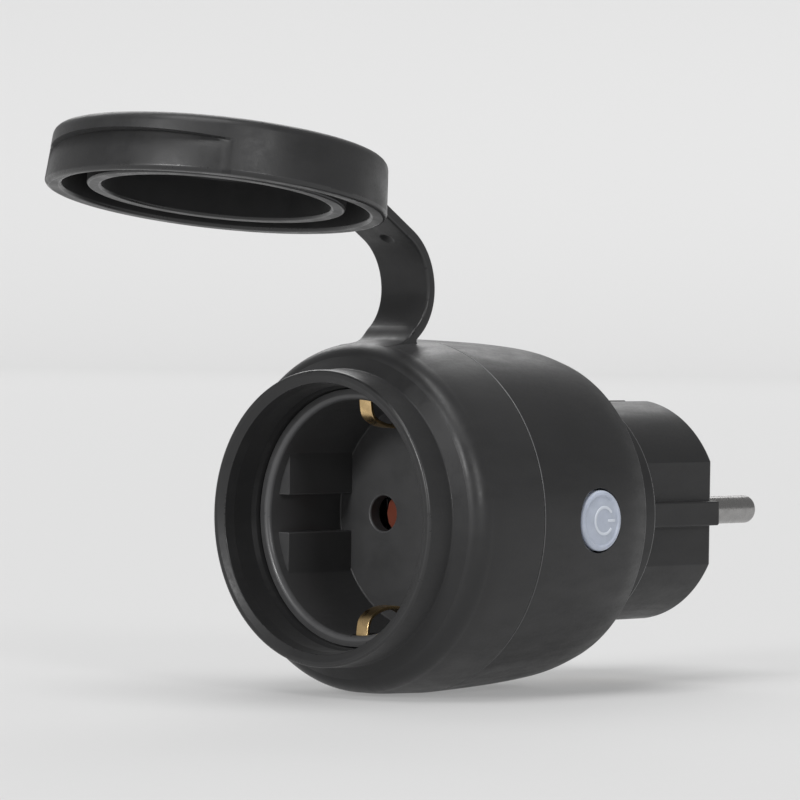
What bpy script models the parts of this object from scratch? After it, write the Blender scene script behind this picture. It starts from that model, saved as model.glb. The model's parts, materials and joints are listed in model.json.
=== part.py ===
"""A round smart plug: a mains plug, a socket with a rubber cap on a strap, and a switched, radio-linked
relay between them. The origin is the centre of the face that meets the wall socket, +Y points along
the two pins into the wall, the socket opens towards -Y, the button faces +X and +Z is up."""

import math

import bmesh
import bpy
import numpy as np
from mathutils import Matrix, Vector

MM = 0.001

# Pins and plug body, in millimetres like every size below
PIN_RADIUS = 2.4
PIN_OFFSET = 9.5
PIN_LENGTH = 19.0
PLUG_RADIUS = 19.0
PLUG_FLAT = 16.85
PLUG_RIB_HALF = 2.07
BASE_RADIUS = 20.7
GAP = 0.3

# Stations along Y, from the wall to the front
Y_PLUG_FACE = 0.0
Y_BASE_STEP = -19.1
Y_BARREL_REAR = -28.6
Y_BOARD_REAR = -34.6
Y_BOARD_FRONT = -36.2
Y_FLOOR_BACK = -52.0
Y_FLOOR = -54.24
Y_SEAM = -57.35
Y_RECESS_RIM = -71.75
Y_SHOULDER = -72.75
Y_CAP_RIM = -74.75
Y_FRONT = -79.74

# Barrel, front sleeve and socket
WALL = 2.0
BARREL_REAR_RADIUS = 26.5
SEAM_RADIUS = 29.3
SHOULDER_RADIUS = 26.45
COLLAR_RADIUS = 24.25
COLLAR_BORE = 21.78
RECESS_RADIUS = 19.35
INSERT_RADIUS = 21.15
BLOCK_FLAT = 16.7
BLOCK_CHANNEL = 3.1
Y_BLOCK_FRONT = -69.4
PIN_HOLE_RADIUS = 2.95

# Button and switch
BUTTON_Y = -42.4
BUTTON_RADIUS = 5.0
BUTTON_FACE = 28.65
BUTTON_HOLE_GAP = 0.32
BUTTON_FLANGE = 0.9

# Cap and strap
CAP_RADIUS = 27.4
CAP_BORE = 24.55
CAP_HEIGHT = 9.25
CAP_PLATE = 2.2
CAP_RING_OUTER = 20.7
CAP_RING_INNER = 18.3
CAP_RING_SHORT = 0.6
GRIP_RADIUS = 30.6
GRIP_SHIFT = 4.7
GRIP_LIP = 3.2
CAP_OPEN_CENTRE = (0.4, -105.1, 50.95)
CAP_TILT = math.radians(9.86)
CAP_LEAN = math.radians(2.16)
STRAP_WIDTH = 10.6
STRAP_HALF = 0.9
STRAP_BACK = (-59.05, 37.4)
STRAP_LOWER_RADIUS = 8.7
STRAP_UPPER_RADIUS = 10.6
STRAP_ROOT_ANGLE = math.radians(60)
STRAP_TIP_ANGLE = math.radians(58)
STRAP_JOINTS = (2.0, 5.6, 9.2, 17.0, 24.8, 32.2)
KNUCKLE_GAP = 0.15

ROUND_STEPS = 48


def clear_scene():
    for obj in list(bpy.data.objects):
        bpy.data.objects.remove(obj, do_unlink=True)


def material(name, color, roughness, metallic=0.0):
    mat = bpy.data.materials.new(name)
    mat.use_nodes = True
    shader = mat.node_tree.nodes["Principled BSDF"]
    shader.inputs["Base Color"].default_value = (*color, 1.0)
    shader.inputs["Roughness"].default_value = roughness
    shader.inputs["Metallic"].default_value = metallic
    return mat


def finish(name, bm, mat):
    """Closes a bmesh into a named, smooth-shaded object, its faces pointing out."""
    bmesh.ops.recalc_face_normals(bm, faces=bm.faces)
    mesh = bpy.data.meshes.new(name)
    bm.to_mesh(mesh)
    bm.free()
    mesh.shade_smooth()
    mesh.set_sharp_from_angle(angle=math.radians(35))
    obj = bpy.data.objects.new(name, mesh)
    bpy.context.scene.collection.objects.link(obj)
    if mat:
        mesh.materials.append(mat)
    return obj


def revolve(name, profile, mat=None, steps=ROUND_STEPS, centre=(0, 0, 0), axis="Y"):
    """A turned solid. The profile is a closed loop of (place along the axis, radius)."""
    bm = bmesh.new()
    rings = []
    for along, radius in profile:
        count = steps if radius > 0 else 1
        ring = []
        for i in range(count):
            turn = 2 * math.pi * (i + 0.5) / steps
            point = Vector((radius * math.cos(turn), along, radius * math.sin(turn)))
            if axis == "X":
                point = Vector((along, radius * math.cos(turn), radius * math.sin(turn)))
            elif axis == "Z":
                point = Vector((radius * math.cos(turn), radius * math.sin(turn), along))
            ring.append(bm.verts.new((point + Vector(centre)) * MM))
        rings.append(ring)
    for ring, other in zip(rings, rings[1:] + rings[:1]):
        for i in range(steps):
            corners = [
                ring[i % len(ring)],
                ring[(i + 1) % len(ring)],
                other[(i + 1) % len(other)],
                other[i % len(other)],
            ]
            unique = list(dict.fromkeys(corners))
            if len(unique) > 2:
                bm.faces.new(unique)
    return finish(name, bm, mat)


def extrude(name, outline, low, high, mat=None, axis="Y"):
    """A prism: a closed outline of the two other coordinates, in X, Y, Z order, from low to high."""
    bm = bmesh.new()
    place = {
        "X": lambda a, b, h: (h, a, b),
        "Y": lambda a, b, h: (a, h, b),
        "Z": lambda a, b, h: (a, b, h),
    }[axis]
    ends = [[bm.verts.new(Vector(place(a, b, h)) * MM) for a, b in outline] for h in (low, high)]
    for end in ends:
        bm.faces.new(end)
    for i in range(len(outline)):
        j = (i + 1) % len(outline)
        bm.faces.new((ends[0][i], ends[0][j], ends[1][j], ends[1][i]))
    return finish(name, bm, mat)


def block(name, low, high, mat=None, bevel=0.0):
    """A box between two corners, its edges rounded by bevel."""
    (x0, y0, z0), (x1, y1, z1) = low, high
    obj = extrude(name, [(x0, z0), (x1, z0), (x1, z1), (x0, z1)], y0, y1, mat)
    if bevel:
        edge = obj.modifiers.new("edges", "BEVEL")
        edge.width = bevel * MM
        edge.segments = 2
    return obj


def rod(name, radius, low, high, centre=(0, 0, 0), mat=None, axis="Y", steps=24):
    return revolve(name, [(low, 0), (low, radius), (high, radius), (high, 0)], mat, steps, centre, axis)


def combine(obj, operation, others):
    for other in others:
        change = obj.modifiers.new(other.name, "BOOLEAN")
        change.operation = operation
        change.object = other
        other.hide_render = True
        other.display_type = "WIRE"
    return obj


def cut(obj, *cutters):
    return combine(obj, "DIFFERENCE", cutters)


def fuse(obj, *others):
    return combine(obj, "UNION", others)


def arc(centre, radius, start, end, steps):
    """Points on a circle, angles in radians, both ends included."""
    turns = np.linspace(start, end, steps + 1)
    return [(centre[0] + radius * math.cos(t), centre[1] + radius * math.sin(t)) for t in turns]


def smooth(points, steps):
    """A Catmull-Rom curve through the points."""
    padded = [points[0], *points, points[-1]]
    curve = []
    for i in range(len(points) - 1):
        a, b, c, d = (np.array(p, float) for p in padded[i : i + 4])
        for t in np.linspace(0, 1, steps, endpoint=False):
            bend = (2 * a - 5 * b + 4 * c - d) * t**2 + (3 * b - a - 3 * c + d) * t**3
            curve.append(0.5 * (2 * b + (c - a) * t + bend))
    curve.append(np.array(points[-1], float))
    return [tuple(float(v) for v in p) for p in curve]


def strip(name, path, thickness, width, mat=None):
    """A bent metal strip of even thickness, its middle line a path of (y, z), centred on X = 0."""
    pts = [np.array(p, float) for p in path]
    left, right = [], []
    for i, point in enumerate(pts):
        before = pts[max(i - 1, 0)]
        after = pts[min(i + 1, len(pts) - 1)]
        arriving = (point - before) / max(np.linalg.norm(point - before), 1e-9)
        leaving = (after - point) / max(np.linalg.norm(after - point), 1e-9)
        along = arriving + leaving
        along /= np.linalg.norm(along)
        square = max(np.linalg.norm(arriving + leaving) / 2, 0.5) if 0 < i < len(pts) - 1 else 1.0
        side = np.array([-along[1], along[0]]) * thickness / 2 / square
        left.append(tuple(point + side))
        right.append(tuple(point - side))
    return extrude(name, left + right[::-1], -width / 2, width / 2, mat, axis="X")


def wire(name, points, radius, mat):
    """A round wire through points in space."""
    curve = bpy.data.curves.new(name, "CURVE")
    curve.dimensions = "3D"
    curve.bevel_depth = radius * MM
    curve.bevel_resolution = 2
    curve.use_fill_caps = True
    line = curve.splines.new("POLY")
    line.points.add(len(points) - 1)
    for target, point in zip(line.points, points):
        target.co = (*(Vector(point) * MM), 1.0)
    obj = bpy.data.objects.new(name, curve)
    bpy.context.scene.collection.objects.link(obj)
    curve.materials.append(mat)
    return obj


def set_origin(obj, point):
    """Moves the object's origin to a point in space, leaving its shape where it is."""
    offset = Vector(point) * MM
    obj.data.transform(Matrix.Translation(-offset))
    obj.location = offset
    return obj


# ---------------------------------------------------------------- shells


def barrel_outline():
    """The barrel's outer side, (y, radius), from its rear edge to the seam."""
    return smooth(
        [(Y_BARREL_REAR, BARREL_REAR_RADIUS), (-33.5, 27.75), (-41.0, 28.53), (-49.0, 28.98),
         (Y_SEAM, SEAM_RADIUS)],
        2,
    )


def sleeve_outline():
    """The front sleeve's outer side, from the seam to its crisp shoulder."""
    return [(Y_SLEEVE_BACK, SEAM_RADIUS), (-62.0, 29.17), (-66.5, 29.02), (-69.5, 28.72), (-70.7, 28.5),
            (-71.5, 28.1), (-72.2, 27.45), (Y_SHOULDER, SHOULDER_RADIUS)]


# Where the three screws, the tongue at the seam and the insert's flange lie
SCREW_TURNS = [math.radians(a) for a in (60, 180, 300)]
SCREW_CIRCLE = 24.5
TONGUE_RADIUS = 27.3
Y_TONGUE = -59.4
Y_INSERT_FLANGE = -60.9
Y_INSERT_FLANGE_FRONT = -62.9
INSERT_FLANGE_RADIUS = 26.9
SLEEVE_BORE = 27.65
Y_SLEEVE_BACK = Y_SEAM - 0.15


def screw_places():
    return [(SCREW_CIRCLE * math.cos(t), SCREW_CIRCLE * math.sin(t)) for t in SCREW_TURNS]


def make_rear_shell(mat):
    outer = barrel_outline()
    inner = [(y, r - WALL) for y, r in outer[1:-1:2]]
    profile = (
        outer
        + [(Y_SEAM, TONGUE_RADIUS), (Y_TONGUE, TONGUE_RADIUS)]
        + [(Y_TONGUE, TONGUE_RADIUS - 1.4), (Y_SEAM + 2.0, TONGUE_RADIUS - 1.2)]
        + inner[::-1]
        + [(Y_BARREL_REAR - WALL, BARREL_REAR_RADIUS - 2.2), (Y_BARREL_REAR - WALL, BASE_RADIUS + GAP)]
        + [(Y_BARREL_REAR, BASE_RADIUS + GAP)]
    )
    shell = revolve("rear_shell", profile, mat)
    for i, (x, z) in enumerate(screw_places()):
        fuse(shell, rod(f"boss_{i}", 2.5, Y_TONGUE + 0.2, -50.5, (x, 0, z), steps=20))
    guide = rod("button_guide", BUTTON_RADIUS + 1.6, 25.5, 27.5, (0, BUTTON_Y, 0), axis="X", steps=32)
    fuse(shell, guide)
    hole = rod("button_hole", BUTTON_RADIUS + BUTTON_HOLE_GAP, 20.0, 34.0, (0, BUTTON_Y, 0), axis="X", steps=32)
    cut(shell, hole)
    for i, (x, z) in enumerate(screw_places()):
        cut(shell, rod(f"boss_hole_{i}", 1.25, Y_TONGUE - 2, -52.0, (x, 0, z), steps=12))
    return shell


def make_front_sleeve(mat, plane):
    lip = 0.75
    collar_root = -74.3
    pocket = -63.3
    rib_front, rib_radius = -71.0, 22.5
    profile = (
        sleeve_outline()
        + [(collar_root, COLLAR_RADIUS + 0.1)]
        + arc((Y_FRONT + lip, COLLAR_RADIUS - lip), lip, math.radians(90), math.radians(180), 2)
        + arc((Y_FRONT + lip, COLLAR_BORE + lip), lip, math.radians(180), math.radians(270), 2)
        + [(collar_root, COLLAR_BORE), (collar_root, INSERT_RADIUS + GAP), (pocket, INSERT_RADIUS + GAP)]
        + [(pocket, rib_radius), (rib_front, rib_radius), (rib_front, 24.4), (-62.5, 27.1)]
        + [(-61.5, SLEEVE_BORE), (Y_SLEEVE_BACK, SLEEVE_BORE)]
    )
    sleeve = revolve("front_sleeve", profile, mat)
    stub = strap_piece("strap_root", -2.6, STRAP_JOINTS[0], plane, start="flat", end="round")
    return fuse(sleeve, stub)


def make_seam_gasket(mat):
    profile = [(-59.7, 26.0), (-60.6, 26.0), (-60.6, 27.2), (-59.7, 27.2)]
    return revolve("seam_gasket", profile, mat)


def make_base_gasket(mat):
    profile = [(-30.9, 21.1), (-31.6, 21.1), (-31.6, 23.0), (-30.9, 23.0)]
    return revolve("base_gasket", profile, mat)


def segment_outline(flat, radius, low, high, steps=4):
    """A slice of a disc beyond X = flat, between two heights."""
    rim = arc((0, 0), radius, math.asin(low / radius), math.asin(high / radius), steps)
    return [(flat, low), *rim, (flat, high)]


def make_socket_insert(mat):
    chamfer = 1.25
    back_radius = INSERT_RADIUS - GAP
    sunk = 0.6
    profile = [
        (Y_FLOOR_BACK, 0),
        (Y_FLOOR_BACK, back_radius),
        (Y_INSERT_FLANGE, back_radius),
        (Y_INSERT_FLANGE, INSERT_FLANGE_RADIUS),
        (Y_INSERT_FLANGE_FRONT, INSERT_FLANGE_RADIUS),
        (Y_INSERT_FLANGE_FRONT, INSERT_RADIUS),
        (Y_RECESS_RIM, INSERT_RADIUS),
        (Y_RECESS_RIM, RECESS_RADIUS + chamfer),
        (Y_RECESS_RIM + chamfer, RECESS_RADIUS),
        (Y_FLOOR, RECESS_RADIUS),
        (Y_FLOOR, 0),
    ]
    insert = revolve("socket_insert", profile, mat)
    reach = math.sqrt((RECESS_RADIUS + sunk) ** 2 - BLOCK_FLAT**2) - 0.3
    for side in (1, -1):
        for low, high in ((BLOCK_CHANNEL, reach), (-reach, -BLOCK_CHANNEL)):
            outline = segment_outline(BLOCK_FLAT, RECESS_RADIUS + sunk, low, high)
            outline = [(side * x, z) for x, z in outline]
            fuse(insert, extrude(f"key_{side}_{low:.0f}", outline, Y_BLOCK_FRONT, Y_FLOOR + sunk))
    cuts = []
    for side in (1, -1):
        cuts.append(rod(f"pin_hole_{side}", PIN_HOLE_RADIUS, -60, -50, (side * PIN_OFFSET, 0, 0)))
        low, high = sorted((16.9 * side, 24.0 * side))
        cuts.append(block(f"earth_slot_{side}", (-1.9, -69.8, low), (1.9, -50.0, high)))
    for i, (x, z) in enumerate(screw_places()):
        cuts.append(rod(f"flange_hole_{i}", 1.5, -65, -58, (x, 0, z), steps=12))
    cut(insert, *cuts)
    return fuse(insert, rod("shutter_post", 1.5, Y_FLOOR_BACK - 1, -48.95, steps=16))


# ---------------------------------------------------------------- plug end


def flat_disc(radius, flat, rib):
    """A disc with a flat on each side and a rib that stands out to the full radius in its middle."""
    half = []
    top = math.acos(flat / radius)
    half += arc((0, 0), radius, top, math.pi - top, 12)
    edge = math.asin(rib / radius)
    half += [(-flat, rib), *arc((0, 0), radius, math.pi - edge, math.pi + edge, 2), (-flat, -rib)]
    return half + [(-x, -z) for x, z in half]


def make_plug_body(mat):
    outline = flat_disc(PLUG_RADIUS, PLUG_FLAT, PLUG_RIB_HALF)
    body = extrude("plug_body", outline, Y_BASE_STEP - 1.0, Y_PLUG_FACE, mat)
    flange_back, flange_front, flange_radius = -31.9, -33.4, 23.5
    base = [
        (Y_BASE_STEP, 0),
        (Y_BASE_STEP, BASE_RADIUS),
        (flange_back, BASE_RADIUS),
        (flange_back, flange_radius),
        (flange_front, flange_radius),
        (flange_front, 0),
    ]
    fuse(body, revolve("plug_base", base))
    cut(body, rod("plug_hollow", 15.2, -36.0, -5.0, steps=40))
    cuts = []
    for side in (1, -1):
        fuse(body, rod(f"pin_boss_{side}", 4.4, -13.0, -4.0, (side * PIN_OFFSET, 0, 0)))
        cuts.append(rod(f"pin_bore_{side}", PIN_RADIUS + GAP, -20.0, 3.0, (side * PIN_OFFSET, 0, 0)))
        low, high = sorted((17.5 * side, 22.0 * side))
        cuts.append(block(f"earth_groove_{side}", (-2.6, -17.8, low), (2.6, 3.0, high)))
        low, high = sorted((13.0 * side, 22.0 * side))
        cuts.append(block(f"earth_window_{side}", (-2.6, -17.8, low), (2.6, -15.8, high)))
    return cut(body, *cuts)


def make_pin(name, side, mat):
    tip = 1.7
    tail = 1.0
    profile = [
        (-36.4, 0),
        (-36.4, tail),
        (-34.2, tail),
        (-33.8, 1.8),
        (-15.1, 1.8),
        (-15.1, 3.7),
        (-13.4, 3.7),
        (-13.4, PIN_RADIUS),
        (PIN_LENGTH - tip, PIN_RADIUS),
        *arc((PIN_LENGTH - tip, PIN_RADIUS - tip), tip, math.radians(60), 0, 3),
        (PIN_LENGTH, 0),
    ]
    return revolve(name, profile, mat, steps=18, centre=(side * PIN_OFFSET, 0, 0))


def make_plug_earth_bracket(mat):
    half = [(-29.0, 13.6), (-16.8, 13.6), (-16.8, 18.3), (-1.0, 18.3)]
    path = half[::-1] + [(y, -z) for y, z in half]
    return strip("plug_earth_bracket", path, 0.6, 4.4, mat)


# ---------------------------------------------------------------- socket end


def make_earth_bracket(mat):
    """One spring strip behind the socket floor, with an arm and an inward arch at top and bottom."""
    arch = smooth([(-57.0, 20.0), (-58.4, 16.6), (-61.4, 15.1), (-64.6, 15.05), (-67.3, 15.9), (-68.6, 17.2),
                   (-69.0, 19.6)], 3)
    half = [(-48.3, 20.0), *arch]
    path = half[::-1] + [(y, -z) for y, z in half]
    return strip("socket_earth_bracket", path, 0.6, 2.6, mat)


def make_contact(name, side, mat):
    """A forked contact that grips a pin above and below, with a tail to the board."""
    low, high = -38.7, -47.4
    grip, bow, sheet = 2.75, 2.45, 0.5
    inner = [(low - sheet, grip), (-41.5, grip), (-45.0, bow), (high, grip + 0.5)]
    outer = [(y, z + sheet) for y, z in inner[1:]][::-1]
    half = inner + outer + [(low, grip + sheet)]
    outline = half + [(y, -z) for y, z in half[::-1]]
    contact = extrude(name, outline, -1.6, 1.6, mat, axis="X")
    contact.data.transform(Matrix.Translation(Vector((side * PIN_OFFSET, 0, 0)) * MM))
    x = side * PIN_OFFSET
    return fuse(contact, block(f"{name}_tail", (x - 0.8, low - 0.3, 1.7), (x + 0.8, -36.5, 2.9)))


def make_contact_carrier(mat):
    """The chassis that holds both contacts in square wells, on the board's front face."""
    carrier = block("contact_carrier", (-14.9, -38.2, -4.9), (14.9, -36.7, 4.9), mat)
    for side in (1, -1):
        x = side * PIN_OFFSET
        fuse(carrier, block(f"well_{side}", (x - 4.7, -47.6, -4.7), (x + 4.7, -37.5, 4.7)))
        cut(carrier, block(f"well_room_{side}", (x - 3.7, -50.0, -3.8), (x + 3.7, -38.3, 3.8)))
        cut(carrier, block(f"tail_slot_{side}", (x - 1.1, -40.0, 1.4), (x + 1.1, -35.0, 3.2)))
    return carrier


def make_shutter(mat):
    """Two paddles on a hub that turns on the socket's post."""
    reach, wing = 11.0, 3.7
    paddle = arc((reach - wing, 0), wing, math.radians(-110), math.radians(110), 8)
    outline = paddle + [(-x, -z) for x, z in paddle]
    shutter = extrude("shutter", outline, -51.6, -50.0, mat)
    fuse(shutter, rod("shutter_hub", 3.0, -51.6, -49.9, steps=20))
    fuse(shutter, block("shutter_peg", (4.6, -50.4, -0.6), (5.6, -48.9, 0.6)))
    return cut(shutter, rod("shutter_bore", 1.55, -55, -45, steps=20))


def make_shutter_spring(mat):
    """A torsion spring wound round the end of the post, one straight leg beside the shutter's peg."""
    coil, turns, steps = 2.15, 1.5, 20
    near, pitch = -49.6, 0.42
    leg_end = np.array([5.2, -1.1])
    start = math.atan2(leg_end[1], leg_end[0]) - math.acos(coil / np.linalg.norm(leg_end))
    points = [(leg_end[0], near, leg_end[1])]
    for i in range(steps + 1):
        wound = turns * i / steps
        angle = start - 2 * math.pi * wound
        points.append((coil * math.cos(angle), near + pitch * wound, coil * math.sin(angle)))
    return wire("shutter_spring", points, 0.16, mat)


# ---------------------------------------------------------------- electronics


def make_main_board(mat):
    board = rod("main_board", 24.6, Y_BOARD_FRONT, Y_BOARD_REAR, mat=mat, steps=40)
    for side in (1, -1):
        cut(board, rod(f"pin_pad_{side}", 1.35, -40, -30, (side * PIN_OFFSET, 0, 0), steps=12))
    return cut(board, block("earth_notch", (-1.3, -40, -15.3), (1.3, -30, -12.5)))


def make_relay(mat):
    return block("relay", (-10.0, -47.3, 6.2), (10.0, Y_BOARD_FRONT - GAP, 18.6), mat, bevel=0.5)


def make_film_capacitor(mat):
    return block("film_capacitor", (-13.6, -46.0, -18.0), (-3.0, Y_BOARD_FRONT - GAP, -7.0), mat, bevel=0.5)


def make_electrolytic_capacitor(mat):
    y = Y_BOARD_FRONT - GAP
    profile = [(y, 0), (y, 4.0), (y - 1.2, 4.0), (y - 1.7, 3.7), (y - 2.2, 4.0)]
    profile += [(y - 10.6, 4.0), (y - 11.0, 3.5), (y - 11.0, 0)]
    return revolve("electrolytic_capacitor", profile, mat, steps=20, centre=(7.2, 0, -12.6))


def make_inductor(mat):
    y = Y_BOARD_FRONT - GAP
    profile = [(y, 0), (y, 2.7), (y - 1.0, 2.7), (y - 1.0, 1.7)]
    profile += [(y - 5.5, 1.7), (y - 5.5, 2.7), (y - 6.5, 2.7), (y - 6.5, 0)]
    return revolve("inductor", profile, mat, steps=16, centre=(14.9, 0, -9.6))


def make_fusible_resistor(mat):
    half = [(-3.6, 0), (-3.6, 0.35), (-3.0, 0.35), (-3.0, 1.3), (-2.3, 1.5)]
    profile = half + [(-z, radius) for z, radius in half[::-1]]
    return revolve("fusible_resistor", profile, mat, steps=14, centre=(15.5, -38.4, 11.5), axis="Z")


def make_varistor(mat):
    profile = [(-1.6, 0), (-1.6, 2.9), (-1.0, 3.6), (1.0, 3.6), (1.6, 2.9), (1.6, 0)]
    return revolve("varistor", profile, mat, steps=18, centre=(-14.4, -40.6, 11.0), axis="X")


def make_radio_board(mat):
    return block("radio_board", (-19.6, -50.0, -8.0), (-18.8, Y_BOARD_FRONT - GAP, 8.0), mat)


def make_radio_shield(mat):
    return block("radio_shield", (-18.5, -45.5, -5.5), (-16.6, -37.5, 5.5), mat, bevel=0.3)


def make_button_board(mat):
    return block("button_board", (19.8, -48.8, -7.2), (20.8, Y_BOARD_FRONT - GAP, 7.2), mat)


def make_board_header(mat):
    return block("board_header", (17.5, -39.4, -5.0), (19.5, Y_BOARD_FRONT - GAP, 5.0), mat, bevel=0.2)


def make_switch_body(mat):
    body = block("switch_body", (21.1, BUTTON_Y - 3, -3), (23.3, BUTTON_Y + 3, 3), mat, bevel=0.2)
    return cut(body, rod("switch_bore", 1.75, 21.8, 24.9, (0, BUTTON_Y, 0), axis="X", steps=16))


def make_switch_plunger(mat):
    plunger = rod("switch_plunger", 1.6, 22.6, 23.65, (0, BUTTON_Y, 0), mat, axis="X", steps=16)
    return set_origin(plunger, (22.9, BUTTON_Y, 0))


def make_status_led(mat):
    profile = [(21.1, 0), (21.1, 1.4), (22.5, 1.4), (23.0, 1.0), (23.15, 0)]
    return revolve("status_led", profile, mat, steps=14, centre=(0, BUTTON_Y, 4.7), axis="X")


def make_button(mat):
    """A round, slightly domed button with a retaining flange and a stem that meets the switch."""
    edge = 0.5
    profile = [
        (23.95, 0),
        (23.95, 1.5),
        (24.3, 1.5),
        (24.3, BUTTON_RADIUS + BUTTON_FLANGE),
        (25.1, BUTTON_RADIUS + BUTTON_FLANGE),
        (25.1, BUTTON_RADIUS),
        *arc((BUTTON_FACE - 0.25 - edge, BUTTON_RADIUS - edge), edge, math.radians(90), 0, 3),
        (BUTTON_FACE - 0.05, 2.5),
        (BUTTON_FACE, 0),
    ]
    button = revolve("button", profile, mat, steps=32, centre=(0, BUTTON_Y, 0), axis="X")
    return set_origin(button, (25.9, BUTTON_Y, 0))


def make_screw(name, place, mat):
    x, z = place
    profile = [(-64.4, 0), (-64.3, 1.3), (-63.9, 1.7), (-63.2, 1.7), (-63.2, 1.0), (-53.2, 1.0), (-52.6, 0.4),
               (-52.6, 0)]
    screw = revolve(name, profile, mat, steps=12, centre=(x, 0, z))
    cross = block(f"{name}_slot", (x - 1.2, -66, z - 0.25), (x + 1.2, -63.9, z + 0.25))
    return cut(screw, cross)


# ---------------------------------------------------------------- cap and strap


def opening_turn():
    """The axis of the strap's hinges, and the turn from the closed cap to the open one."""
    closed_normal = Vector((0, 1, 0))
    open_normal = Vector((math.sin(CAP_LEAN), -math.sin(CAP_TILT) * math.cos(CAP_LEAN),
                          -math.cos(CAP_TILT) * math.cos(CAP_LEAN)))
    travel = Vector(CAP_OPEN_CENTRE) - Vector((0, Y_CAP_RIM, 0))
    axis = (closed_normal - open_normal).cross(travel).normalized()
    if axis.x < 0:
        axis.negate()
    before = closed_normal - axis * closed_normal.dot(axis)
    after = open_normal - axis * open_normal.dot(axis)
    return axis, -before.angle(after)


def strap_plane():
    """An empty whose X axis is the hinge axis. The strap's side view lies in its Y and Z."""
    axis, _ = opening_turn()
    along = Vector((0, 0, 1)).cross(axis).normalized()
    up = axis.cross(along)
    plane = bpy.data.objects.new("strap_plane", None)
    bpy.context.scene.collection.objects.link(plane)
    plane.matrix_world = Matrix((axis, along, up)).transposed().to_4x4()
    return plane


def strap_line(place):
    """(y, z) and direction of the strap's middle line, at a distance from its root."""
    y, z = STRAP_BACK
    lower = STRAP_ROOT_ANGLE * STRAP_LOWER_RADIUS
    upper = STRAP_TIP_ANGLE * STRAP_UPPER_RADIUS
    if place < lower:
        turn = place / STRAP_LOWER_RADIUS - STRAP_ROOT_ANGLE
        centre, radius = (y - STRAP_LOWER_RADIUS, z), STRAP_LOWER_RADIUS
    else:
        turn = min((place - lower) / STRAP_UPPER_RADIUS, STRAP_TIP_ANGLE)
        centre, radius = (y - STRAP_UPPER_RADIUS, z), STRAP_UPPER_RADIUS
    point = np.array([centre[0] + radius * math.cos(turn), centre[1] + radius * math.sin(turn)])
    direction = np.array([-math.sin(turn), math.cos(turn)])
    return point + max(place - lower - upper, 0) * direction, direction


def strap_piece(name, start_place, end_place, plane, start, end, mat=None):
    """A stretch of strap. A round end is a knuckle on its joint, a hollow end cups the next knuckle."""
    radius = STRAP_HALF + KNUCKLE_GAP
    reach = math.asin(STRAP_HALF / radius)
    left, right = [], []
    margin = radius * math.cos(reach) if start == "hollow" else 0.0
    places = np.linspace(start_place + margin, end_place, 5)
    for place in places[1 if start == "hollow" else 0 :]:
        point, direction = strap_line(place)
        side = np.array([-direction[1], direction[0]]) * STRAP_HALF
        left.append(tuple(point + side))
        right.append(tuple(point - side))
    outline = right
    if end == "round":
        point, direction = strap_line(end_place)
        turn = math.atan2(direction[1], direction[0])
        knuckle = arc(point, STRAP_HALF, turn - math.pi / 2, turn + math.pi / 2, 8)
        outline = outline[:-1] + knuckle + left[:-1][::-1]
    else:
        outline = outline + left[::-1]
    if start == "hollow":
        point, direction = strap_line(start_place)
        turn = math.atan2(direction[1], direction[0])
        outline = outline + arc(point, radius, turn + reach, turn - reach, 6)
    piece = extrude(name, outline, -STRAP_WIDTH / 2, STRAP_WIDTH / 2, mat, axis="X")
    piece.data.transform(Matrix.Translation(Vector((strap_offset(), 0, 0)) * MM))
    piece.parent = plane
    return piece


def strap_offset():
    """How far along the hinge axis the strap's middle lies, so that its root is at X = 0."""
    axis, _ = opening_turn()
    point, _ = strap_line(STRAP_JOINTS[0])
    return axis.y * float(point[0]) + axis.z * float(point[1])


def make_strap_links(mat, plane):
    links = []
    for i, (start, end) in enumerate(zip(STRAP_JOINTS, STRAP_JOINTS[1:])):
        link = strap_piece(f"strap_link_{i + 1}", start, end, plane, "hollow", "round", mat)
        point, _ = strap_line(start)
        offset = Vector((strap_offset(), float(point[0]), float(point[1]))) * MM
        link.data.transform(Matrix.Translation(-offset))
        link.location = offset
        links.append(link)
    return links


def make_cap(mat, plane):
    """The cap, turned in its closed place and then swung open."""
    top = Y_CAP_RIM - CAP_HEIGHT
    floor = top + CAP_PLATE
    corner = 1.6
    profile = [
        (Y_CAP_RIM, CAP_RADIUS),
        (Y_CAP_RIM, CAP_BORE),
        (floor, CAP_BORE),
        (floor, CAP_RING_OUTER),
        (Y_CAP_RIM - CAP_RING_SHORT, CAP_RING_OUTER),
        (Y_CAP_RIM - CAP_RING_SHORT, CAP_RING_INNER),
        (floor, CAP_RING_INNER),
        (floor, 0),
        (top, 0),
        *arc((top + corner, CAP_RADIUS - 0.7 - corner), corner, math.radians(180), math.radians(90), 3),
    ]
    cap = revolve("cap", profile, mat)
    low, high, clear = top + GRIP_LIP, Y_CAP_RIM + 3, 45.0
    grip = revolve(
        "grip_cut",
        [(high, GRIP_RADIUS), (low, GRIP_RADIUS), (low, clear), (high, clear)],
        centre=(0, 0, GRIP_SHIFT),
    )
    keep = block("grip_side", (-22.0, top, -40.0), (22.0, Y_CAP_RIM + 5, -18.0))
    common = grip.modifiers.new("grip_side", "BOOLEAN")
    common.operation = "INTERSECT"
    common.object = keep
    keep.hide_render = True
    keep.display_type = "WIRE"
    axis, turn = opening_turn()
    swing = (
        Matrix.Translation(Vector(CAP_OPEN_CENTRE) * MM)
        @ Matrix.Rotation(turn, 4, axis)
        @ Matrix.Translation(Vector((0, -Y_CAP_RIM, 0)) * MM)
    )
    for piece in (cap, grip, keep):
        piece.data.transform(swing)
    cut(cap, grip)
    stub = strap_piece("strap_tip", STRAP_JOINTS[-1], STRAP_JOINTS[-1] + 4.0, plane, "hollow", "flat")
    return fuse(cap, stub)


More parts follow.
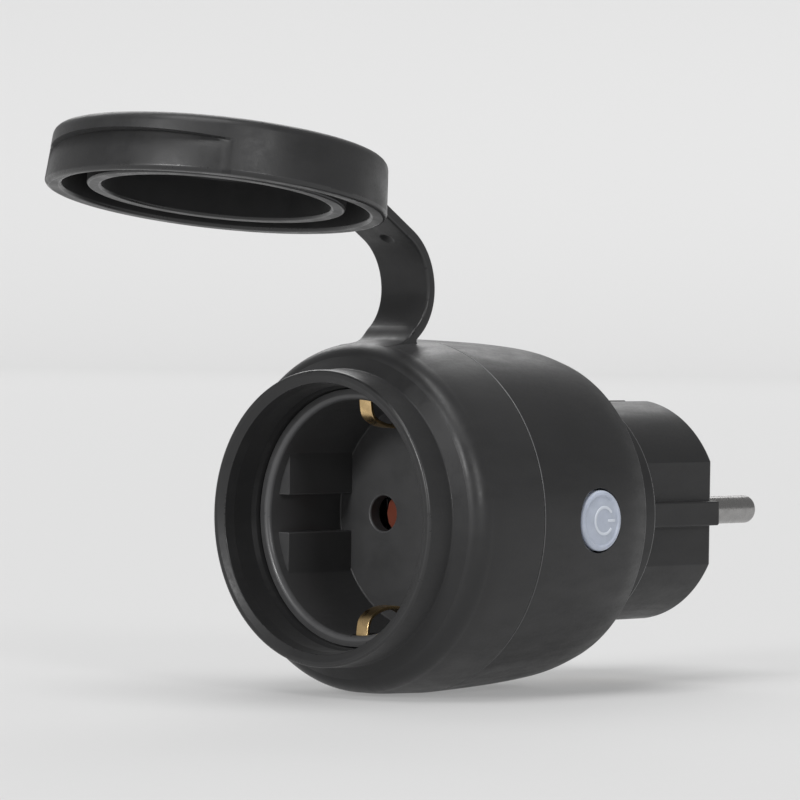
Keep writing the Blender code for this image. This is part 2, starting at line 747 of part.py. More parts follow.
def main():
    clear_scene()
    shell = material("shell_plastic", (0.045, 0.045, 0.047), 0.45)
    rubber = material("soft_rubber", (0.05, 0.05, 0.052), 0.55)
    socket_plastic = material("socket_plastic", (0.03, 0.03, 0.032), 0.5)
    brass = material("brass", (0.72, 0.5, 0.2), 0.3, 1.0)
    nickel = material("nickel", (0.6, 0.6, 0.6), 0.25, 1.0)
    steel = material("steel", (0.5, 0.5, 0.52), 0.35, 1.0)
    orange = material("orange_plastic", (0.5, 0.16, 0.04), 0.5)
    frosted = material("frosted_button", (0.62, 0.66, 0.74), 0.35)
    board_green = material("circuit_board", (0.02, 0.12, 0.05), 0.5)
    blue = material("relay_blue", (0.03, 0.12, 0.4), 0.4)
    yellow = material("capacitor_yellow", (0.7, 0.5, 0.05), 0.4)
    black = material("component_black", (0.02, 0.02, 0.02), 0.4)
    red = material("varistor_red", (0.5, 0.06, 0.04), 0.45)
    green_wire = material("earth_insulation", (0.3, 0.55, 0.05), 0.5)

    plane = strap_plane()
    make_rear_shell(shell)
    make_front_sleeve(rubber, plane)
    make_seam_gasket(rubber)
    make_base_gasket(rubber)
    make_socket_insert(socket_plastic)
    make_plug_body(shell)
    for name, side in (("pin_left", -1), ("pin_right", 1)):
        make_pin(name, side, nickel)
    make_plug_earth_bracket(brass)
    make_earth_bracket(brass)
    for name, side in (("contact_left", -1), ("contact_right", 1)):
        make_contact(name, side, brass)
    make_contact_carrier(socket_plastic)
    make_shutter(orange)
    make_shutter_spring(steel)
    make_main_board(board_green)
    make_relay(blue)
    make_film_capacitor(yellow)
    make_electrolytic_capacitor(black)
    make_inductor(black)
    make_fusible_resistor(yellow)
    make_varistor(red)
    make_radio_board(board_green)
    make_radio_shield(steel)
    make_button_board(board_green)
    make_board_header(black)
    make_switch_body(black)
    make_switch_plunger(black)
    make_status_led(frosted)
    make_button(frosted)
    for i, place in enumerate(screw_places()):
        make_screw(f"housing_screw_{i + 1}", place, steel)
    earth_run = smooth([(0, -29.7, -12.8), (0, -33.0, -13.9), (0, -40.0, -13.9), (0, -47.6, -14.6)], 4)
    wire("earth_wire", [tuple(p) for p in earth_run], 0.9, green_wire)
    make_cap(rubber, plane)
    make_strap_links(rubber, plane)


main()
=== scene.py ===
"""Looks of a round smart plug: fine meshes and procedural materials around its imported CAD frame.
Sizes are in millimetres, and MM turns them into Blender's metres. The socket opens towards -Y, the pins
point along +Y, the button faces +X, and the cap's strap leaves the sleeve at +Z."""

import json
import math

import bmesh
import bpy
import numpy as np
from mathutils import Matrix, Vector


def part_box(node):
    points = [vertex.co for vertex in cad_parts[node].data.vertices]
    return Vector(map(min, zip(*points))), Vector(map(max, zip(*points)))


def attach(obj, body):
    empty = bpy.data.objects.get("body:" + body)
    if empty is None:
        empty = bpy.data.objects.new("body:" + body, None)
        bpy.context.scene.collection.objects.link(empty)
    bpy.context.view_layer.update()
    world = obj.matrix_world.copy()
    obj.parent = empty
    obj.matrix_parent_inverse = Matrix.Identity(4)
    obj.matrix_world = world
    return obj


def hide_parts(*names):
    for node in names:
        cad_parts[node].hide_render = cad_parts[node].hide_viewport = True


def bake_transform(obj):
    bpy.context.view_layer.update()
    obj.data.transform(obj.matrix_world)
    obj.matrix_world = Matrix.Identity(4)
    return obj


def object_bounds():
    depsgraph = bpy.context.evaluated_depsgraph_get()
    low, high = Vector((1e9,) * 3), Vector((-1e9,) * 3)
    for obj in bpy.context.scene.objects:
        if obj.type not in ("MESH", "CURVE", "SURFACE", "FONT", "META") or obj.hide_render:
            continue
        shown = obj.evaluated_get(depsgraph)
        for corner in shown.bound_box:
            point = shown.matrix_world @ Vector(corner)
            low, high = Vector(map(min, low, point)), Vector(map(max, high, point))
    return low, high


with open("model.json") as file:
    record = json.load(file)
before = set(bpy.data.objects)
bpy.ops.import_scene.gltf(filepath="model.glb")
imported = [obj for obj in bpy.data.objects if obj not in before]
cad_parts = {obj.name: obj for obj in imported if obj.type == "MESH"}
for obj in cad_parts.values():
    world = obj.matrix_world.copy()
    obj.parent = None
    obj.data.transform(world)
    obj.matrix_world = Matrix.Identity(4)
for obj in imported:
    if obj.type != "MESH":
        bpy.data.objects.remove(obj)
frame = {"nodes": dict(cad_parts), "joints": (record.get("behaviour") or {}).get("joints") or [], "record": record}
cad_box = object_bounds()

MM = 0.001
FINE_STEPS = 240
ARC_STEPS = 6
QUARTER = np.radians(np.linspace(0, 90, ARC_STEPS + 1))
SHARP_ANGLE = math.radians(35)
FILLET_SHARE = 0.49


def low(node, axis):
    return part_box(node)[0]["XYZ".index(axis)] / MM


def high(node, axis):
    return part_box(node)[1]["XYZ".index(axis)] / MM


def middle(node, axis):
    return (low(node, axis) + high(node, axis)) / 2


# Distances along Y
BASE_LENGTH = 9.5
SEAM_GAP = 0.15
RECESS_DEPTH = 17.51
FLOOR_THICK = 2.24
SHOULDER_AHEAD = 1.0
CAP_RIM_AHEAD = 3.0
BLOCK_BEHIND = 2.35
SLOT_BEHIND = 1.95

# Stations along Y
Y_PIN_TIP = high("pin_right", "Y")
Y_PIN_TAIL = low("pin_right", "Y")
Y_PLUG_FACE = high("plug_body", "Y")
Y_BARREL_REAR = high("rear_shell", "Y")
Y_BASE_STEP = Y_BARREL_REAR + BASE_LENGTH
Y_SLEEVE_BACK = high("front_sleeve", "Y")
Y_SEAM = Y_SLEEVE_BACK + SEAM_GAP
Y_TONGUE = low("rear_shell", "Y")
Y_RECESS_RIM = low("socket_insert", "Y")
Y_FLOOR = Y_RECESS_RIM + RECESS_DEPTH
Y_FLOOR_BACK = Y_FLOOR + FLOOR_THICK
Y_SHOULDER = Y_RECESS_RIM - SHOULDER_AHEAD
Y_CAP_RIM = Y_RECESS_RIM - CAP_RIM_AHEAD
Y_FRONT = low("front_sleeve", "Y")

# Radii about the main axis
PLUG_RADIUS = 19.0
PLUG_FLAT = 16.85
PLUG_RIB_HALF = 2.07
BASE_RADIUS = 20.7
BARREL_REAR_RADIUS = 26.5
SEAM_RADIUS = 29.3
SHOULDER_RADIUS = 26.45
COLLAR_RADIUS = 24.25
COLLAR_BORE = 21.78
RECESS_RADIUS = 19.35
INSERT_RADIUS = 21.15
BLOCK_FLAT = 16.7
BLOCK_CHANNEL = 3.1
TONGUE_RADIUS = 27.3
SLEEVE_BORE = 27.65
INSERT_FLANGE_RADIUS = 26.9
BASE_FLANGE_RADIUS = 23.5
WALL = 2.0
GAP = 0.3

# Pins, button, screws
PIN_OFFSET = middle("pin_right", "X")
PIN_RADIUS = 2.4
PIN_HOLE_RADIUS = 2.95
BUTTON_Y = middle("button", "Y")
BUTTON_RADIUS = 5.0
BUTTON_FACE = high("button", "X")
BUTTON_FLANGE = 0.9
SCREW_CIRCLE = 24.5
SCREW_TURNS = [math.radians(a) for a in (60, 180, 300)]

# Cap, in the place it has when it is closed
CAP_RADIUS = 27.4
CAP_TOP_RADIUS = 26.7
CAP_BORE = 24.55
CAP_HEIGHT = 9.25
CAP_PLATE = 2.2
CAP_RING_OUTER = 20.7
CAP_RING_INNER = 18.3
CAP_RING_SHORT = 0.6
GRIP_RADIUS = 30.6
GRIP_SHIFT = 4.7
GRIP_LIP = 2.7
GRIP_LIP_GROWTH = 1.0
GRIP_END = math.radians(46.5)
GRIP_STEP = 0.12
GRIP_UNDERCUT = 0.5
GRIP_UNDERCUT_FADE = 1.2

# Strap: its middle line in the plane across the hinges, and the places of the hinges along it
STRAP_WIDTH = 10.6
STRAP_THICK = 1.8
STRAP_BACK = (-59.05, 37.4)
STRAP_LOWER_RADIUS = 8.7
STRAP_UPPER_RADIUS = 10.6
STRAP_ROOT_ANGLE = math.radians(60)
STRAP_TIP_ANGLE = math.radians(58)
STRAP_JOINTS = (2.0, 5.6, 9.2, 17.0, 24.8, 32.2)
STRAP_ROOT = -7.0
STRAP_TIP = STRAP_JOINTS[-1] + 4.0
STRAP_ROOT_BACK = -2.0
STRAP_SINK_START = 0.5
STRAP_SINK_SLOPE = 0.34
STRAP_SINK_EASE = 3.0
STRAP_FLOW_START = 1.5
STRAP_FLOW_EASE = 0.5
DIMPLE_PLACE = (0.35, 20.2)
DIMPLE_RADIUS = 1.25
DIMPLE_DEPTH = 0.5


# ---------------------------------------------------------------- outlines


def arc(centre, radius, start, end, steps):
    """Points on a circle, angles in degrees, both ends included."""
    turns = np.radians(np.linspace(start, end, steps + 1))
    return [(centre[0] + radius * math.cos(t), centre[1] + radius * math.sin(t)) for t in turns]


def smooth(points, steps):
    """A Catmull-Rom curve through the points."""
    padded = [points[0], *points, points[-1]]
    curve = []
    for i in range(len(points) - 1):
        a, b, c, d = (np.array(p, float) for p in padded[i : i + 4])
        for t in np.linspace(0, 1, steps, endpoint=False):
            bend = (2 * a - 5 * b + 4 * c - d) * t**2 + (3 * b - a - 3 * c + d) * t**3
            curve.append(0.5 * (2 * b + (c - a) * t + bend))
    curve.append(np.array(points[-1], float))
    return [tuple(float(v) for v in p) for p in curve]


def plain(points):
    """Corners with no fillet."""
    return [(a, b, 0) for a, b in points]


def rounded(corners, closed=True):
    """The outline with each corner (a, b, fillet) replaced by an arc of its fillet's radius."""
    points = []
    last = len(corners) - 1
    for i, (a, b, fillet) in enumerate(corners):
        here = Vector((a, b))
        if not fillet or (not closed and i in (0, last)):
            points.append((a, b))
            continue
        before = Vector(corners[i - 1][:2]) - here
        after = Vector(corners[(i + 1) % len(corners)][:2]) - here
        half = before.angle(after) / 2
        reach = min(fillet / math.tan(half), FILLET_SHARE * before.length, FILLET_SHARE * after.length)
        radius = reach * math.tan(half)
        inward = (before.normalized() + after.normalized()).normalized()
        centre = here + inward * (radius / math.sin(half))
        start = here + before.normalized() * reach - centre
        end = here + after.normalized() * reach - centre
        sweep = math.pi - 2 * half
        for k in range(ARC_STEPS + 1):
            t = k / ARC_STEPS
            spoke = (start * math.sin((1 - t) * sweep) + end * math.sin(t * sweep)) / math.sin(sweep)
            points.append(tuple(centre + spoke))
    return points


# ---------------------------------------------------------------- mesh tools


def shade(mesh):
    mesh.shade_smooth()
    mesh.set_sharp_from_angle(angle=SHARP_ANGLE)


def new_object(name, bm):
    bmesh.ops.recalc_face_normals(bm, faces=bm.faces)
    mesh = bpy.data.meshes.new(name)
    bm.to_mesh(mesh)
    bm.free()
    shade(mesh)
    obj = bpy.data.objects.new(name, mesh)
    bpy.context.scene.collection.objects.link(obj)
    return obj


def bridge(bm, ring, other):
    """Faces between two rings of equal length, either of which may be one point."""
    count = max(len(ring), len(other))
    for i in range(count):
        corners = [
            ring[i % len(ring)],
            ring[(i + 1) % len(ring)],
            other[(i + 1) % len(other)],
            other[i % len(other)],
        ]
        unique = list(dict.fromkeys(corners))
        if len(unique) > 2:
            bm.faces.new(unique)


def lathe(name, outline, steps=FINE_STEPS, centre=(0, 0, 0), axis="Y", warp=None):
    """A turned solid from a closed loop of (place along the axis, radius), which warp may move."""
    bm = bmesh.new()
    rings = []
    for row, (along, radius) in enumerate(outline):
        ring = []
        for i in range(steps if radius > 0 else 1):
            turn = 2 * math.pi * i / steps
            a, r = warp(row, along, radius, turn) if warp else (along, radius)
            across, up = r * math.cos(turn), r * math.sin(turn)
            point = {"X": (a, across, up), "Y": (across, a, up), "Z": (across, up, a)}[axis]
            ring.append(bm.verts.new((Vector(point) + Vector(centre)) * MM))
        rings.append(ring)
    for ring, other in zip(rings, rings[1:] + rings[:1]):
        bridge(bm, ring, other)
    return new_object(name, bm)


def loft(name, rings):
    """A solid through closed rings of points, its first and last ring filled."""
    bm = bmesh.new()
    made = [[bm.verts.new(Vector(p) * MM) for p in ring] for ring in rings]
    for ring, other in zip(made, made[1:]):
        bridge(bm, ring, other)
    bm.faces.new(made[0])
    bm.faces.new(made[-1])
    return new_object(name, bm)


def prism(name, outline, start, end, axis, edge):
    """An outline of the two other coordinates swept along an axis, its end edges rounded by edge."""
    points = np.array(outline)
    centre = np.mean(points, axis=0)
    size = np.abs(points - centre).max()
    stations = [(start + edge * (1 - math.sin(t)), edge * (1 - math.cos(t))) for t in QUARTER[::-1]]
    stations += [(end - edge * (1 - math.sin(t)), edge * (1 - math.cos(t))) for t in QUARTER]
    rings = []
    for along, inset in stations:
        shrunk = centre + (points - centre) * (1 - inset / size)
        rings.append([{"X": (along, a, b), "Y": (a, along, b), "Z": (a, b, along)}[axis] for a, b in shrunk])
    return loft(name, rings)


def rectangle(low_corner, high_corner, fillet):
    (a0, b0), (a1, b1) = low_corner, high_corner
    return rounded([(a0, b0, fillet), (a1, b0, fillet), (a1, b1, fillet), (a0, b1, fillet)])


def upright_box(name, half_width, from_y, to_y, heights, fillet, edge):
    """A box with rounded edges, centred on X = 0, between two heights in any order."""
    outline = rectangle((-half_width, from_y), (half_width, to_y), fillet)
    return prism(name, outline, min(heights), max(heights), "Z", edge)


def rod(name, radius, start, end, centre=(0, 0, 0), axis="Y", steps=48):
    return lathe(name, [(start, 0), (start, radius), (end, radius), (end, 0)], steps, centre, axis)


def combine(obj, operation, others):
    """Joins or cuts the object with the others, which are used up."""
    for other in others:
        change = obj.modifiers.new(other.name, "BOOLEAN")
        change.operation = operation
        change.object = other
    graph = bpy.context.evaluated_depsgraph_get()
    mesh = bpy.data.meshes.new_from_object(obj.evaluated_get(graph))
    obj.modifiers.clear()
    obj.data = mesh
    shade(mesh)
    for other in others:
        bpy.data.objects.remove(other)


def weigh_normals(obj):
    """Keeps large flat faces flat in shading where they meet small fillets."""
    weigh = obj.modifiers.new("weighted_normals", "WEIGHTED_NORMAL")
    weigh.keep_sharp = True
    weigh.weight = 100


# ---------------------------------------------------------------- materials


class Shader:
    """A Principled material and short calls for its nodes. Texture sizes are in millimetres."""

    def __init__(self, name, roughness, metallic=0.0):
        self.material = bpy.data.materials.new(name)
        self.material.use_nodes = True
        self.tree = self.material.node_tree
        self.principled = self.tree.nodes["Principled BSDF"]
        self.set("Roughness", roughness)
        self.set("Metallic", metallic)
        self.place = self.add("ShaderNodeTexCoord").outputs["Object"]

    def add(self, kind, **values):
        node = self.tree.nodes.new(kind)
        for key, value in values.items():
            setattr(node, key, value)
        return node

    def link(self, output, target):
        self.tree.links.new(output, target)

    def set(self, socket, value):
        self.principled.inputs[socket].default_value = value

    def stretched(self, x, y, z):
        """Object coordinates, stretched so that the texture runs along an axis."""
        mapping = self.add("ShaderNodeMapping")
        mapping.inputs["Scale"].default_value = (x, y, z)
        self.link(self.place, mapping.inputs["Vector"])
        return mapping.outputs["Vector"]

    def noise(self, size, detail, rough=0.55, where=None):
        node = self.add("ShaderNodeTexNoise")
        node.inputs["Scale"].default_value = 1 / (size * MM)
        node.inputs["Detail"].default_value = detail
        node.inputs["Roughness"].default_value = rough
        self.link(where or self.place, node.inputs["Vector"])
        return node.outputs["Fac"]

    def scaled(self, value, from_low, from_high, to_low, to_high):
        node = self.add("ShaderNodeMapRange")
        node.inputs["From Min"].default_value = from_low
        node.inputs["From Max"].default_value = from_high
        node.inputs["To Min"].default_value = to_low
        node.inputs["To Max"].default_value = to_high
        self.link(value, node.inputs["Value"])
        return node.outputs["Result"]

    def combined(self, operation, value, other):
        node = self.add("ShaderNodeMath", operation=operation)
        for socket, item in zip(node.inputs, (value, other)):
            if isinstance(item, float):
                socket.default_value = item
            else:
                self.link(item, socket)
        return node.outputs["Value"]

    def mixed(self, factor, first, second):
        """A colour between two colours, either of which may be another node's output."""
        node = self.add("ShaderNodeMix", data_type="RGBA")
        colours = [s for s in node.inputs if s.type == "RGBA"]
        for socket, item in zip(colours, (first, second)):
            if isinstance(item, tuple):
                socket.default_value = (*item, 1.0)
            else:
                self.link(item, socket)
        self.link(factor, node.inputs["Factor"])
        return next(s for s in node.outputs if s.type == "RGBA")

    def paint(self, colour):
        self.link(colour, self.principled.inputs["Base Color"])

    def rough(self, value):
        self.link(value, self.principled.inputs["Roughness"])

    def bump(self, height, depth):
        """Adds relief of a depth in millimetres on top of what is there."""
        node = self.add("ShaderNodeBump")
        node.inputs["Distance"].default_value = depth * MM
        node.inputs["Strength"].default_value = 1.0
        self.link(height, node.inputs["Height"])
        normal = self.principled.inputs["Normal"]
        if normal.is_linked:
            self.link(normal.links[0].from_socket, node.inputs["Normal"])
        self.link(node.outputs["Normal"], normal)


def times(colour, factor):
    return tuple(min(c * factor, 1.0) for c in colour)


def moulded(name, colour, roughness, grain=0.22, grain_depth=0.008):
    """Moulded plastic or rubber: fine grain, slow colour drift, faint flow marks and uneven gloss."""
    tone, spread = 0.12, 0.07
    look = Shader(name, roughness)
    drift = look.noise(14.0, 2.0)
    flow = look.noise(3.5, 5.0, 0.65, look.stretched(1.0, 0.35, 1.0))
    slow, fast = look.scaled(drift, 0.3, 0.7, 0.0, 0.6), look.scaled(flow, 0.3, 0.7, 0.0, 0.4)
    look.paint(look.mixed(look.combined("ADD", slow, fast), times(colour, 1 - tone), times(colour, 1 + tone)))
    worn = look.combined("ADD", look.scaled(flow, 0.35, 0.65, -spread, spread), roughness)
    speck = look.scaled(look.noise(0.5, 1.0), 0.4, 0.75, 0.0, spread * 0.7)
    look.rough(look.combined("ADD", worn, speck))
    look.bump(look.noise(grain, 2.0, 0.6), grain_depth)
    look.bump(look.noise(4.5, 2.0), 0.02)
    return look


def shell_plastic():
    look = moulded("shell_plastic", (0.0165, 0.0165, 0.017), 0.4)
    look.set("Specular IOR Level", 0.38)
    return look.material


def soft_rubber():
    look = moulded("soft_rubber", (0.0165, 0.0165, 0.017), 0.41, grain=0.3, grain_depth=0.01)
    look.set("Specular IOR Level", 0.38)
    look.set("Sheen Weight", 0.06)
    look.set("Sheen Roughness", 0.5)
    return look.material


def socket_plastic():
    look = moulded("socket_plastic", (0.056, 0.056, 0.057), 0.42, grain=0.18)
    look.set("Specular IOR Level", 0.42)
    return look.material


def brushed(name, colour, roughness, along, tarnish=0.25):
    """Metal with marks that run along one axis, and clouds of slightly darker tarnish."""
    look = Shader(name, roughness, 1.0)
    slow, fast = 0.08, 1.0
    marks = look.noise(0.05, 2.0, 0.5, look.stretched(*(slow if axis == along else fast for axis in "XYZ")))
    cloud = look.scaled(look.noise(1.6, 4.0, 0.6), 0.4, 0.75, 0.0, 1.0)
    dark = look.mixed(cloud, colour, times(colour, 1 - tarnish))
    look.paint(look.mixed(look.scaled(marks, 0.3, 0.7, 0.0, 0.25), dark, times(colour, 1.15)))
    look.rough(look.scaled(look.combined("ADD", marks, cloud), 0.4, 1.4, roughness * 0.75, roughness * 1.5))
    look.bump(marks, 0.004)
    return look.material


def component(name, colour, roughness):
    """Small electronic parts: moulded or dipped bodies with a fine texture."""
    look = Shader(name, roughness)
    cloud = look.scaled(look.noise(1.2, 4.0), 0.35, 0.7, 0.0, 1.0)
    look.paint(look.mixed(cloud, times(colour, 0.85), times(colour, 1.12)))
    look.rough(look.scaled(look.noise(0.7, 2.0), 0.3, 0.7, roughness * 0.8, roughness * 1.2))
    look.bump(look.noise(0.25, 2.0), 0.006)
    return look.material


def circuit_board():
    """Green solder mask over a grid of etched tracks."""
    look = Shader("circuit_board", 0.35)
    tracks = look.add("ShaderNodeTexBrick")
    tracks.inputs["Scale"].default_value = 1 / (2.6 * MM)
    tracks.inputs["Mortar Size"].default_value = 0.05
    tracks.inputs["Mortar Smooth"].default_value = 0.1
    look.link(look.place, tracks.inputs["Vector"])
    weave = look.noise(0.4, 2.0)
    mask = look.mixed(look.scaled(weave, 0.3, 0.7, 0.0, 1.0), (0.012, 0.085, 0.034), (0.018, 0.125, 0.05))
    look.paint(look.mixed(tracks.outputs["Fac"], mask, (0.05, 0.21, 0.09)))
    look.rough(look.scaled(weave, 0.3, 0.7, 0.28, 0.42))
    look.bump(tracks.outputs["Fac"], 0.03)
    return look.material


def frosted_silicone():
    look = Shader("frosted_silicone", 0.38)
    cloud = look.noise(2.2, 3.0)
    look.paint(look.mixed(look.scaled(cloud, 0.3, 0.7, 0.0, 1.0), (0.40, 0.44, 0.52), (0.47, 0.51, 0.60)))
    look.set("Subsurface Weight", 0.35)
    look.set("Subsurface Radius", (1.0, 1.0, 1.2))
    look.set("Subsurface Scale", 1.2 * MM)
    look.rough(look.scaled(look.noise(0.6, 2.0), 0.3, 0.7, 0.32, 0.46))
    look.bump(look.noise(0.18, 2.0), 0.006)
    return look.material


def power_mark():
    look = Shader("power_mark", 0.4)
    look.paint(look.mixed(look.noise(0.8, 2.0), (0.55, 0.59, 0.66), (0.66, 0.70, 0.77)))
    look.bump(look.noise(0.18, 2.0), 0.004)
    return look.material


def earth_insulation():
    """Green insulation with a yellow stripe wound along it."""
    look = Shader("earth_insulation", 0.45)
    wave = look.add("ShaderNodeTexWave", bands_direction="DIAGONAL")
    wave.inputs["Scale"].default_value = 1 / (5.0 * MM)
    look.link(look.place, wave.inputs["Vector"])
    stripe = look.scaled(wave.outputs["Fac"], 0.45, 0.55, 0.0, 1.0)
    look.paint(look.mixed(stripe, (0.05, 0.28, 0.04), (0.72, 0.62, 0.04)))
    look.bump(look.noise(0.4, 2.0), 0.008)
    return look.material


def studio_floor():
    """Pale seamless paper that glows a little, so that it stays even all round."""
    look = Shader("studio_paper", 0.9)
    fibre = look.noise(1.5, 4.0)
    look.paint(look.mixed(fibre, (0.36, 0.36, 0.36), (0.37, 0.37, 0.37)))
    look.set("Specular IOR Level", 0.05)
    look.set("Emission Color", (1.0, 1.0, 1.0, 1.0))
    look.set("Emission Strength", 0.27)
    look.bump(fibre, 0.02)
    return look.material


MATERIALS = {
    "shell_plastic": shell_plastic(),
    "soft_rubber": soft_rubber(),
    "socket_plastic": socket_plastic(),
    "brass": brushed("brass", (0.74, 0.53, 0.27), 0.3, "X", tarnish=0.3),
    "nickel": brushed("nickel", (0.36, 0.355, 0.35), 0.26, "X", tarnish=0.12),
    "steel": brushed("zinc_steel", (0.52, 0.52, 0.54), 0.36, "Y"),
    "orange_plastic": moulded("orange_plastic", (0.15, 0.03, 0.012), 0.45).material,
    "frosted_button": frosted_silicone(),
    "circuit_board": circuit_board(),
    "relay_blue": component("relay_blue", (0.02, 0.09, 0.36), 0.3),
    "capacitor_yellow": component("capacitor_yellow", (0.72, 0.5, 0.05), 0.35),
    "component_black": component("component_black", (0.022, 0.022, 0.024), 0.4),
    "varistor_red": component("varistor_red", (0.42, 0.05, 0.03), 0.4),
    "earth_insulation": earth_insulation(),
}


# Painted highlights: materials for small fillets, paler and glossier than the faces beside them
EDGE_HIGHLIGHT_MATERIALS = {
    "shell_plastic": moulded("shell_plastic_edge_highlight", (0.09, 0.09, 0.092), 0.3).material,
    "soft_rubber": moulded("soft_rubber_edge_highlight", (0.022, 0.022, 0.0225), 0.3).material,
    "socket_plastic": moulded("socket_plastic_edge_highlight", (0.085, 0.085, 0.087), 0.34).material,
}
EDGE_TURN = math.radians(6)
EDGE_WIDTH = 0.24
EDGE_SLANT = 0.996


def paint_edge_highlights(obj, highlight_material):
    """Gives the small fillets on a piece's outer corners a paler, glossier material: a painted highlight along the
    edges.
    A fillet's face is a narrow, slanting quad that turns outward along two opposite edges."""
    obj.data.materials.append(highlight_material)
    bm = bmesh.new()
    bm.from_mesh(obj.data)
    for face in bm.faces:
        turned = [edge for edge in face.edges if edge.calc_face_angle_signed(0) > EDGE_TURN]
        pair = len(face.verts) == 4 and len(turned) == 2
        opposite = pair and not set(turned[0].verts) & set(turned[1].verts)
        narrow = min(edge.calc_length() for edge in face.edges) < EDGE_WIDTH * MM
        slanting = max(abs(c) for c in face.normal) < EDGE_SLANT
        if opposite and narrow and slanting:
            # This fillet face gets the painted highlight material
            face.material_index = 1
    bm.to_mesh(obj.data)
    bm.free()


def dress(obj, slot, body, *nodes):
    """Gives a piece its material and slot, the body it moves with, and the CAD nodes it stands for."""
    obj.data.materials.clear()
    obj.data.materials.append(MATERIALS[slot])
    # Painted highlight: small fillets get a paler, glossier material
    if slot in EDGE_HIGHLIGHT_MATERIALS:
        paint_edge_highlights(obj, EDGE_HIGHLIGHT_MATERIALS[slot])
    weigh_normals(obj)
    if body:
        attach(obj, body)
    if nodes:
        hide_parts(*nodes)


# ---------------------------------------------------------------- housing


def barrel_outline(steps):
    """The barrel's outer side, from its rear edge to the seam."""
    points = [(0, BARREL_REAR_RADIUS), (4.9, 27.75), (12.4, 28.53), (20.4, 28.98)]
    points = [(Y_BARREL_REAR - along, radius) for along, radius in points]
    return smooth([*points, (Y_SEAM, SEAM_RADIUS)], steps)


def sleeve_outline(steps):
    """The front sleeve's outer side: nearly straight from the seam, then a quarter of an ellipse."""
    bend, reach, rise = Y_SHOULDER + 3.45, 3.5, 2.73
    base = SHOULDER_RADIUS - 0.45
    points = [(Y_SLEEVE_BACK, SEAM_RADIUS), (Y_SEAM - 4.65, 29.17), (Y_SEAM - 9.15, 29.02)]
    turns = np.radians(np.linspace(0, 80.5, 2 * steps))[1:]
    shoulder = [(bend - reach * math.sin(t), base + rise * math.cos(t)) for t in turns]
    return smooth([*points, (bend, base + rise)], steps) + shoulder


def screw_rods(name, radius, start, end):
    """A rod at the place of each screw."""
    places = [(SCREW_CIRCLE * math.cos(t), 0, SCREW_CIRCLE * math.sin(t)) for t in SCREW_TURNS]
    return [rod(f"{name}_{i}", radius, start, end, place) for i, place in enumerate(places)]


def filleted_ends(curve, first, last):
    corners = plain(curve)
    corners[0] = (*curve[0], first)
    corners[-1] = (*curve[-1], last)
    return corners


def make_barrel():
    """The rear half of the housing, with its tongue, screw bosses and the button's hole."""
    rear_inside = Y_BARREL_REAR - WALL
    corners = filleted_ends(barrel_outline(7), 0.55, 0.14)
    corners += plain([(Y_SEAM, TONGUE_RADIUS), (Y_TONGUE, TONGUE_RADIUS)])
    corners += plain([(Y_TONGUE, TONGUE_RADIUS - 1.4), (Y_SEAM + 2.0, TONGUE_RADIUS - 1.2)])
    corners += plain([(y, radius - WALL) for y, radius in barrel_outline(2)[1:-1:2]][::-1])
    corners += plain([(rear_inside, BARREL_REAR_RADIUS - 2.2), (rear_inside, BASE_RADIUS + GAP)])
    corners.append((Y_BARREL_REAR, BASE_RADIUS + GAP, 0.2))
    barrel = lathe("barrel", rounded(corners))
    hole, flare, surface = BUTTON_RADIUS + GAP, 0.5, BUTTON_FACE - 0.25
    inside, outside = 20.0, 34.0
    mouth = [(inside, 0), (inside, hole)]
    mouth += [(surface - flare * (1 - math.sin(t)), hole + flare * (1 - math.cos(t))) for t in QUARTER]
    mouth += [(outside, hole + flare), (outside, 0)]
    centre = (0, BUTTON_Y, 0)
    guide = rod("guide", hole + 1.3, BUTTON_FACE - 3.15, BUTTON_FACE - 1.15, centre, "X", 96)
    combine(barrel, "UNION", [guide, *screw_rods("boss", 2.5, Y_TONGUE + 0.2, -50.5)])
    bores = screw_rods("bore", 1.25, Y_TONGUE - 2, -52.0)
    combine(barrel, "DIFFERENCE", [lathe("mouth", mouth, 96, centre, "X"), *bores])
    dress(barrel, "shell_plastic", "housing", "rear_shell")


def make_sleeve():
    """The soft front half of the housing, with the collar that the cap closes on."""
    rim = Y_RECESS_RIM
    inside, rib = INSERT_RADIUS + GAP, 22.5
    corners = filleted_ends(sleeve_outline(7), 0.14, 0.22)
    corners += [(rim - 2.55, COLLAR_RADIUS + 0.1, 0.5), (Y_FRONT, COLLAR_RADIUS, 0.6)]
    corners += [(Y_FRONT, COLLAR_RADIUS - 0.95, 0.5), (Y_FRONT + 0.6, COLLAR_BORE + 0.35, 0.3)]
    corners += [(Y_FRONT + 2.5, COLLAR_BORE, 1.0), (rim - 1.5, COLLAR_BORE, 0.3), (rim - 0.6, inside, 0.2)]
    corners += plain([(rim + 8.45, inside), (rim + 8.45, rib), (rim + 0.75, rib), (rim + 0.75, 24.4)])
    corners += plain([(rim + 9.25, 27.1), (rim + 10.25, SLEEVE_BORE), (Y_SLEEVE_BACK, SLEEVE_BORE)])
    sleeve = lathe("front_rubber", rounded(corners))
    dress(sleeve, "soft_rubber", "housing", "front_sleeve")


